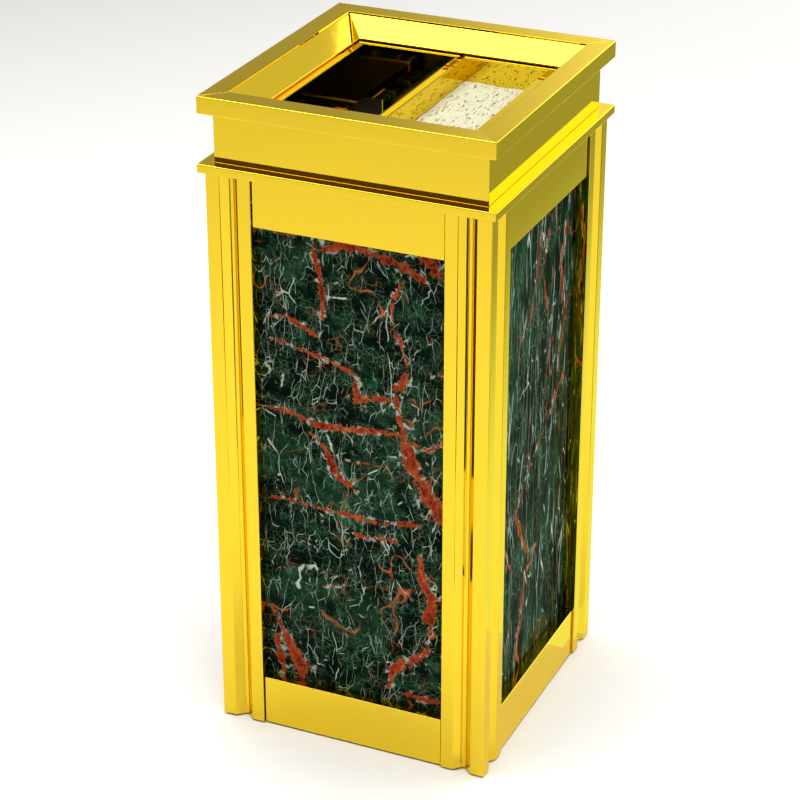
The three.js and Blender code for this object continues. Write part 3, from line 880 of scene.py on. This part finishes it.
# %% [markdown]
# ## Ledge
# The ledge caps the body and stands out past it. From outside it is a thin flat band. Under
# it a flange sits on the rails, and the inner edge turns down to stiffen it.

# %% Ledge
low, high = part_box("ledge")
half_x, half_y = high.x, high.y
LAND = 20 * MM
LEDGE_FLANGE = 24 * MM
LEDGE_CLEAR = 3 * MM
OUTER_FOLD = 0.8 * MM
draw_rings("folded_ledge", [
    (rectangle(half_x, half_y, LEDGE_FLANGE), low.z),
    (rectangle(half_x, half_y), low.z),
    (rectangle(half_x, half_y), high.z),
    (rectangle(half_x, half_y, LAND), high.z),
    (rectangle(half_x, half_y, LAND), low.z + LEDGE_CLEAR),
])
ledge = finish_sheet(SHEET, OUTER_FOLD)
saw_mitres(ledge, half_x, half_y, LAND, high.z, high.z - low.z)
fit(ledge, gold, "body", "gold_metal", "ledge")

# %% [markdown]
# ## Head: rim, neck, hopper
# The head is what people touch. A thick rim stands on a slightly smaller neck, and four
# sloping walls run down from it to the two wells. Each is its own sheet with a small gap to
# the next, and those gaps are the thin dark lines that a drawn-on line can't match.

# %% Rim, neck and hopper
RIM_FLANGE = 9.7 * MM
low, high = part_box("rim_frame")
half_x, half_y = high.x, high.y
draw_rings("folded_rim", [
    (rectangle(half_x, half_y, RIM_FLANGE), low.z),
    (rectangle(half_x, half_y), low.z),
    (rectangle(half_x, half_y), high.z),
    (rectangle(half_x, half_y, LAND), high.z),
])
rim = finish_sheet(SHEET, OUTER_FOLD)
saw_mitres(rim, half_x, half_y, LAND, high.z, high.z - low.z)
fit(rim, gold, "head", "gold_metal", "rim_frame")

neck_low, neck_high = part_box("neck_band")
draw_rings("neck_sheet", [
    (rectangle(neck_high.x, neck_high.y), neck_low.z),
    (rectangle(neck_high.x, neck_high.y), neck_high.z),
])
face_outward(0)
neck = finish_sheet(SHEET, OUTER_FOLD)
fit(neck, gold, "head", "gold_metal", "neck_band")

hopper_low, hopper_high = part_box("hopper")
SLOPE_END = 38 * MM
SLOPE_DEEP = 18 * MM
HOPPER_FLANGE = 6 * MM
HOPPER_FOLD = 0.5 * MM
draw_rings("hopper_slopes", [
    (rectangle(half_x, half_y, LAND - HOPPER_FLANGE), hopper_high.z),
    (rectangle(half_x, half_y, LAND), hopper_high.z),
    (rectangle(half_x, half_y, SLOPE_END), high.z - SLOPE_DEEP),
    (rectangle(half_x, half_y, SLOPE_END), hopper_low.z),
])
hopper = finish_sheet(SHEET, HOPPER_FOLD)
fit(hopper, gold, "head", "gold_metal", "hopper")

# %% [markdown]
# ## Wells: waste throat and ash tray
# Both wells are boxes with a flange that lies on the seat. The throat has no floor, so what is
# dropped in falls to the bucket. The tray has one, and it lifts out to be emptied. Their
# inside is the side that shows, so the skin is the inside, and its thickness goes outward.
# A flange and two walls meet in one corner here, and the simple thickness would bend the
# flange down into the seat, so the wells get the exact one.

# %% Throat and tray
WALL_EDGE = 6 * MM
MIDDLE_EDGE = 2.2 * MM
WELL_FOLD = 0.15 * MM
WELL_EASE = 0.1 * MM


def well(name, node, outer_is_left, floor_height):
    """A flange, then walls down to a height. Only the tray is closed there."""
    low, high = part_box(node)
    left_edge, right_edge = WALL_EDGE, MIDDLE_EDGE
    if not outer_is_left:
        left_edge, right_edge = right_edge, left_edge
    inside = (low.x + left_edge, high.x - right_edge, low.y + WALL_EDGE, high.y - WALL_EDGE)
    rings = [
        ((low.x, high.x, low.y, high.y), high.z),
        (inside, high.z),
        (inside, floor_height),
    ]
    draw_rings(name, rings, closed_floor=node == "ash_tray")
    return finish_sheet(SHEET, WELL_FOLD, end_ease=WELL_EASE, exact=True)


throat = well("throat_walls", "waste_throat", True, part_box("waste_throat")[0].z)
fit(throat, gold, "head", "gold_metal", "waste_throat")
tray = well("ash_tray_pan", "ash_tray", False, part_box("ash_tray")[0].z + SHEET)
fit(tray, gold, "tray", "gold_metal", "ash_tray")

# %% [markdown]
# ## Sand
# The tray holds coarse white sand, smoothed and then disturbed by use. A grid is the right
# start: a broad cloud lifts it into soft mounds and a fine one makes it granular. Loose
# grains lie on top, pale ones and a few dark ones, as small faceted lumps.

# %% Sand finishes
FLECK = (0.16, 0.11, 0.07, 1)


def sand_finish(name, pale, shade, rough):
    """Coarse grit in two tones, with brown flecks."""
    finish, tree, shader = new_finish(name, 0.0, Specular_IOR_Level=0.3)
    place = object_place(tree)
    grit = use_group(tree, grain, place, Size=1400.0)
    tone = blend_colour(tree, ramp(tree, grit.outputs["Grain"], 0.34, 0.62), shade, pale)
    fleck = ramp(tree, noise(tree, place, 620.0, 2.0, 0.5), 0.70, 0.74)
    tone = lay_colour(tree, tone, fleck, 0.8, FLECK)
    tree.links.new(tone, shader.inputs["Base Color"])
    dullness = sum_of(tree, "MULTIPLY_ADD", grit.outputs["Patches"], 0.1, rough)
    tree.links.new(dullness, shader.inputs["Roughness"])
    bump = put(tree, "Bump", Strength=0.7, Distance=0.0008)
    tree.links.new(grit.outputs["Grain"], bump.inputs["Height"])
    tree.links.new(bump.outputs["Normal"], shader.inputs["Normal"])
    return finish


white_sand = sand_finish("white sand", (0.60, 0.60, 0.44, 1), (0.34, 0.32, 0.21, 1), 0.8)
dark_grit = sand_finish("dark grit", (0.14, 0.09, 0.05, 1), (0.04, 0.03, 0.02, 1), 0.6)
print("finishes:", white_sand.name, dark_grit.name)

# %% Sand bed
MOUND_ROOM = 2.6 * MM
SKIRT = 8 * MM
SAND_SQUARES = (66, 156)
SAND_SMOOTH = radians(50)
sand_low, sand_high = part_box("tray_sand")
level = sand_high.z - MOUND_ROOM
across, along = SAND_SQUARES
clear_bench()
bpy.ops.mesh.primitive_grid_add(x_subdivisions=across, y_subdivisions=along, size=1)
sand = bpy.context.object
sand.name = "sand_bed"
bpy.ops.object.mode_set(mode="EDIT")
bpy.ops.mesh.select_all(action="SELECT")
spread = (sand_high.x - sand_low.x, sand_high.y - sand_low.y, 1)
middle = ((sand_low.x + sand_high.x) / 2, (sand_low.y + sand_high.y) / 2, level)
bpy.ops.transform.resize(value=spread, center_override=(0, 0, 0))
bpy.ops.transform.translate(value=middle)
bpy.ops.object.mode_set(mode="OBJECT")
for title, size, lift in (("mounds", 0.030, 3.6 * MM), ("lumps", 0.0042, 1.3 * MM)):
    heaps = bpy.data.textures.new(title, "CLOUDS")
    heaps.noise_scale = size
    heaps.noise_depth = 2
    add_modifier(sand, "DISPLACE", texture=heaps, strength=lift, direction="Z", mid_level=0.5)
hold(sand)
bpy.ops.object.mode_set(mode="EDIT")
bpy.ops.mesh.select_mode(type="EDGE")
bpy.ops.mesh.select_all(action="DESELECT")
bpy.ops.mesh.select_non_manifold()
bpy.ops.mesh.extrude_region_move(TRANSFORM_OT_translate={"value": (0, 0, -SKIRT)})
bpy.ops.transform.resize(value=(1, 1, 0), center_override=(0, 0, sand_low.z))
bpy.ops.mesh.edge_face_add()
bpy.ops.mesh.select_all(action="SELECT")
bpy.ops.mesh.normals_make_consistent(inside=False)
bpy.ops.object.mode_set(mode="OBJECT")
bpy.ops.object.shade_smooth_by_angle(angle=SAND_SMOOTH)
fit(sand, white_sand, "tray", "sand", "tray_sand")
sand_top = max(vertex.co.z for vertex in sand.data.vertices)
print("sand bed:", len(sand.data.polygons), "faces, top", round(sand_top, 4))


# %% Loose grains
WALL_GAP = 3 * MM
GRAIN_LIFT = 0.2 * MM


def strew(name, count, size, long, seed, finish):
    """One chipped grain, copied over the sand with its own size and spot each time."""
    draw = random.Random(seed)
    clear_bench()
    bpy.ops.mesh.primitive_ico_sphere_add(subdivisions=1, radius=size)
    grains = bpy.context.object
    grains.name = name
    bpy.ops.object.mode_set(mode="EDIT")
    bpy.ops.mesh.select_all(action="SELECT")
    bpy.ops.transform.resize(value=(1.0, long, 0.62), center_override=(0, 0, 0))
    at = Vector((0, 0, 0))
    for _ in range(count):
        x = draw.uniform(sand_low.x + WALL_GAP, sand_high.x - WALL_GAP)
        y = draw.uniform(sand_low.y + WALL_GAP, sand_high.y - WALL_GAP)
        under = sand.ray_cast(Vector((x, y, 1)), Vector((0, 0, -1)))[1]
        spot = Vector((x, y, under.z + GRAIN_LIFT))
        bpy.ops.mesh.duplicate_move(TRANSFORM_OT_translate={"value": spot - at})
        grow = (draw.uniform(0.8, 1.2), draw.uniform(0.8, 1.25), draw.uniform(0.85, 1.15))
        bpy.ops.transform.resize(value=grow, center_override=spot)
        at = spot
    # The first grain was only the pattern, and still lies at the origin
    pick_faces(lambda middle, normal: middle.z < sand_low.z)
    bpy.ops.mesh.delete(type="FACE")
    bpy.ops.object.mode_set(mode="OBJECT")
    fit(grains, finish, "tray", "sand")
    print(grains.name, "has", count, "grains")


strew("sand_grains_pale", 420, 0.95 * MM, 1.3, 5, white_sand)
strew("sand_grains_dark", 64, 0.85 * MM, 2.1, 9, dark_grit)

# %% [markdown]
# ## Zinc, steel and rubber
# Inside the bin the parts are plain. Galvanised sheet shows a spangle, the crystal pattern
# that zinc makes as it cools, which is a Voronoi cell with its own tone and roughness. Screws
# and the bail are drawn steel, and the feet are moulded rubber with a little bloom.

# %% Zinc and steel
DUST_TONE = (0.33, 0.31, 0.28, 1)


def plain_metal(name, tone_a, tone_b, cells, rough_a, rough_b):
    """Metal in cells, each with a tone and a roughness between the two given."""
    finish, tree, shader = new_finish(name, 1.0)
    place = object_place(tree)
    spangle = put(tree, "TexVoronoi", Scale=cells)
    tree.links.new(bent_place(tree, place, 50.0, 0.004), spangle.inputs["Vector"])
    facet = put(tree, "SeparateColor")
    tree.links.new(spangle.outputs["Color"], facet.inputs[0])
    wear = use_group(tree, haze, place, Cloud_Size=12.0, Mark_Density=260.0)
    settled = use_group(tree, dust, place, Amount=0.6)
    tone = blend_colour(tree, facet.outputs[0], tone_a, tone_b)
    tone = blend_colour(tree, settled.outputs["Dust"], tone, DUST_TONE)
    tree.links.new(tone, shader.inputs["Base Color"])
    rough = sum_of(tree, "MULTIPLY_ADD", facet.outputs[1], rough_b - rough_a, rough_a)
    rough = sum_of(tree, "MULTIPLY_ADD", wear.outputs["Marks"], 0.12, rough)
    tree.links.new(rough, shader.inputs["Roughness"])
    return finish


zinc = plain_metal("galvanised sheet", (0.42, 0.43, 0.44, 1), (0.50, 0.51, 0.52, 1), 210.0, 0.30, 0.42)
steel = plain_metal("drawn steel", (0.52, 0.52, 0.53, 1), (0.60, 0.60, 0.61, 1), 900.0, 0.22, 0.30)
print("finishes:", zinc.name, steel.name)

# %% Rubber
RUBBER_CLEAN = (0.012, 0.012, 0.012, 1)
RUBBER_BLOOM = (0.032, 0.031, 0.030, 1)
rubber, tree, shader = new_finish("moulded rubber", 0.0, Specular_IOR_Level=0.35)
place = object_place(tree)
bloom = use_group(tree, grain, place, Size=900.0)
patchy = ramp(tree, bloom.outputs["Patches"], 0.4, 0.7)
tree.links.new(blend_colour(tree, patchy, RUBBER_CLEAN, RUBBER_BLOOM), shader.inputs["Base Color"])
dullness = sum_of(tree, "MULTIPLY_ADD", bloom.outputs["Grain"], 0.2, 0.6)
tree.links.new(dullness, shader.inputs["Roughness"])
skin = put(tree, "Bump", Strength=0.3, Distance=0.0003)
tree.links.new(bloom.outputs["Grain"], skin.inputs["Height"])
tree.links.new(skin.outputs["Normal"], shader.inputs["Normal"])
print("finish:", rubber.name)

# %% [markdown]
# ## Bucket
# The bucket is a deep box of thin sheet. Its top edge is folded outward as a hem, which
# stiffens it and keeps fingers off the cut edge, and its floor is pressed up a little so that
# it doesn't drum. The skin is the inside again, and it runs over the hem to its lower lip.

# %% Bucket
HEM_WIDE, HEM_TALL = 3 * MM, 6 * MM
THIN_SHEET = 1 * MM
FLOOR_RIM, PRESS_STEP, PRESS_UP = 26 * MM, 3 * MM, 2 * MM
low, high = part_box("bucket")
hem_x, hem_y = high.x, high.y
floor_z = low.z + THIN_SHEET
inner = rectangle(hem_x, hem_y, HEM_WIDE + THIN_SHEET)
draw_rings("hemmed_bucket", [
    (rectangle(hem_x, hem_y), high.z - HEM_TALL),
    (rectangle(hem_x, hem_y), high.z),
    (inner, high.z),
    (inner, floor_z),
], closed_floor=True)
pick_faces(lambda middle, normal: abs(middle.z - floor_z) < NEAR)
bpy.ops.mesh.inset(thickness=FLOOR_RIM)
bpy.ops.mesh.inset(thickness=PRESS_STEP)
bpy.ops.transform.translate(value=(0, 0, PRESS_UP))
bucket = finish_sheet(THIN_SHEET, 0.45 * MM, end_ease=0.1 * MM)
fit(bucket, zinc, "bucket", "zinc_sheet", "bucket")

# %% Plain pieces keep their measured shape
PLAIN = [
    (zinc, ("panel_angle", "base_plate", "head_collar")),
    (steel, ("base_screw", "ledge_screw", "bucket_stud", "bucket_bail")),
    (rubber, ("base_pad",)),
    (gold, ("recess_seat",)),
]
for node_name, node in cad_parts.items():
    for finish, starts in PLAIN:
        if node_name.startswith(starts):
            for place in node.material_slots:
                place.material = finish
print("plain pieces have their finishes")

# %% [markdown]
# ## Floor and light
# Mirror metal shows the room, so the room is what gives it its colour. The floor is pale, and
# every upright face seen from above mirrors it. A wide white wall stands behind, a soft box
# hangs overhead, and the rest of the room is dim, so that edges get dark lines. A grey card
# and two dark flags on the floor show only in reflections: the card keeps the right-hand
# faces from glaring, and the flags darken what the posts mirror. Towards the back the floor
# glows by itself, and the camera sees a white sky, so that the background stays even.

# %% Floor
FLOOR_SIZE = 14
FLOOR_GLOW = 0.80
GLOW_START, GLOW_FULL = 0.3, 3.2
clear_bench()
bpy.ops.mesh.primitive_plane_add(size=FLOOR_SIZE, location=(0, 2.0, 0))
ground = bpy.context.object
ground.name = "studio_floor"
paint, tree, shader = new_finish("floor paint", 0.0, Specular_IOR_Level=0.0, Roughness=1.0)
paint_grain = use_group(tree, grain, object_place(tree), Size=60.0)
tone = blend_colour(tree, paint_grain.outputs["Grain"], (0.91, 0.91, 0.90, 1), (0.94, 0.94, 0.93, 1))
tree.links.new(tone, shader.inputs["Base Color"])
depth_in_room = put(tree, "SeparateXYZ")
tree.links.new(object_place(tree), depth_in_room.inputs[0])
far_off = ramp(tree, depth_in_room.outputs["Y"], GLOW_START, GLOW_FULL)
lift = blend_colour(tree, far_off, (0, 0, 0, 1), (1, 1, 1, 1))
tree.links.new(lift, shader.inputs["Emission Color"])
shader.inputs["Emission Strength"].default_value = FLOOR_GLOW
ground.data.materials.append(paint)
ground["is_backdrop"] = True
print("floor:", FLOOR_SIZE, "m square")

# %% Grey card
LAID = 0.001  # a card lies this far above the floor
WHITE = (1.0, 1.0, 1.0, 1)
CARD_TINT = (0.88, 1.0, 0.62, 1)


def glow(name, strength_from, strength_to, axis, start, end, tint=WHITE):
    """A surface that glows evenly across, and fades along one axis."""
    finish = bpy.data.materials.new(name)
    finish.use_nodes = True
    tree = finish.node_tree
    tree.nodes.clear()
    out = put(tree, "OutputMaterial")
    shine = put(tree, "Emission", Color=tint)
    axes = put(tree, "SeparateXYZ")
    tree.links.new(object_place(tree), axes.inputs[0])
    strength = ramp(tree, axes.outputs[axis], start, end, strength_from, strength_to)
    tree.links.new(strength, shine.inputs["Strength"])
    tree.links.new(shine.outputs[0], out.inputs["Surface"])
    return finish


def only_in_mirrors(piece):
    """Let nothing but reflections meet a piece."""
    piece.visible_camera = False
    piece.visible_diffuse = False
    piece.visible_shadow = False


card = lay_plate("grey_card", (0.14, 0.10, LAID), (3.0, 4.0, LAID), "+z")
clear_bench()
card.data.materials.append(glow("card", 1.25, 0.48, "X", 0.30, 0.62, CARD_TINT))
only_in_mirrors(card)
card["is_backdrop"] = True
print("card:", [round(length, 2) for length in card.dimensions])

# %% Dark flags on the floor
FLAGS = [
    ("dark_flag_far", (0.16, -1.45, LAID), (0.75, -0.65, LAID)),
    ("dark_flag_near", (0.16, -0.65, LAID), (0.26, -0.44, LAID)),
]
FLAG_GLOW = 0.10
felt = glow("flag felt", FLAG_GLOW, FLAG_GLOW, "X", 0.0, 1.0)
for name, low, high in FLAGS:
    flag = lay_plate(name, low, high, "+z")
    clear_bench()
    flag.data.materials.append(felt)
    only_in_mirrors(flag)
    flag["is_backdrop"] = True
print("flags:", len(FLAGS))

# %% White wall behind
wall = lay_plate("white_wall", (-3.2, 3.2, 0.0), (4.5, 3.2, 2.2), "-y")
clear_bench()
wall.data.materials.append(glow("wall", 0.45, 2.5, "X", -1.7, 0.2))
wall.visible_camera = False
wall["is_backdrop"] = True
print("wall:", [round(length, 2) for length in wall.dimensions])

# %% Lights
def soft_light(name, place, target, width, height, radiance):
    """A rectangular soft light that glows evenly with the given radiance."""
    data = bpy.data.lights.new(name, "AREA")
    data.shape = "RECTANGLE"
    data.size, data.size_y = width, height
    data.energy = radiance * pi * width * height
    lamp = bpy.data.objects.new(name, data)
    bpy.context.scene.collection.objects.link(lamp)
    lamp.location = place
    lamp.rotation_euler = (Vector(target) - Vector(place)).to_track_quat("-Z", "Y").to_euler()


soft_light(
    "overhead", place=(0, -0.35, 2.5), target=(0, -0.05, 0.4), width=2.4, height=1.9, radiance=5.9
)

ROOM_FRONT = (0.12, 0.10, 0.08, 1)
ROOM_BACK = (0.80, 0.79, 0.76, 1)
world = bpy.data.worlds.new("studio")
world.use_nodes = True
tree = world.node_tree
air = tree.nodes["Background"]
axes = put(tree, "SeparateXYZ")
tree.links.new(put(tree, "TexCoord").outputs["Generated"], axes.inputs[0])
back = ramp(tree, axes.outputs["Y"], -0.25, 0.55)
sky = blend_colour(tree, back, ROOM_FRONT, ROOM_BACK)
seen = put(tree, "LightPath").outputs["Is Camera Ray"]
tree.links.new(blend_colour(tree, seen, sky, WHITE), air.inputs["Color"])
air.inputs["Strength"].default_value = 1.0
bpy.context.scene.world = world

# %% Sizes, then finish
looks_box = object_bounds()
for title, box in (("cad", cad_box), ("looks", looks_box)):
    print(title, [[round(value, 4) for value in corner] for corner in box])
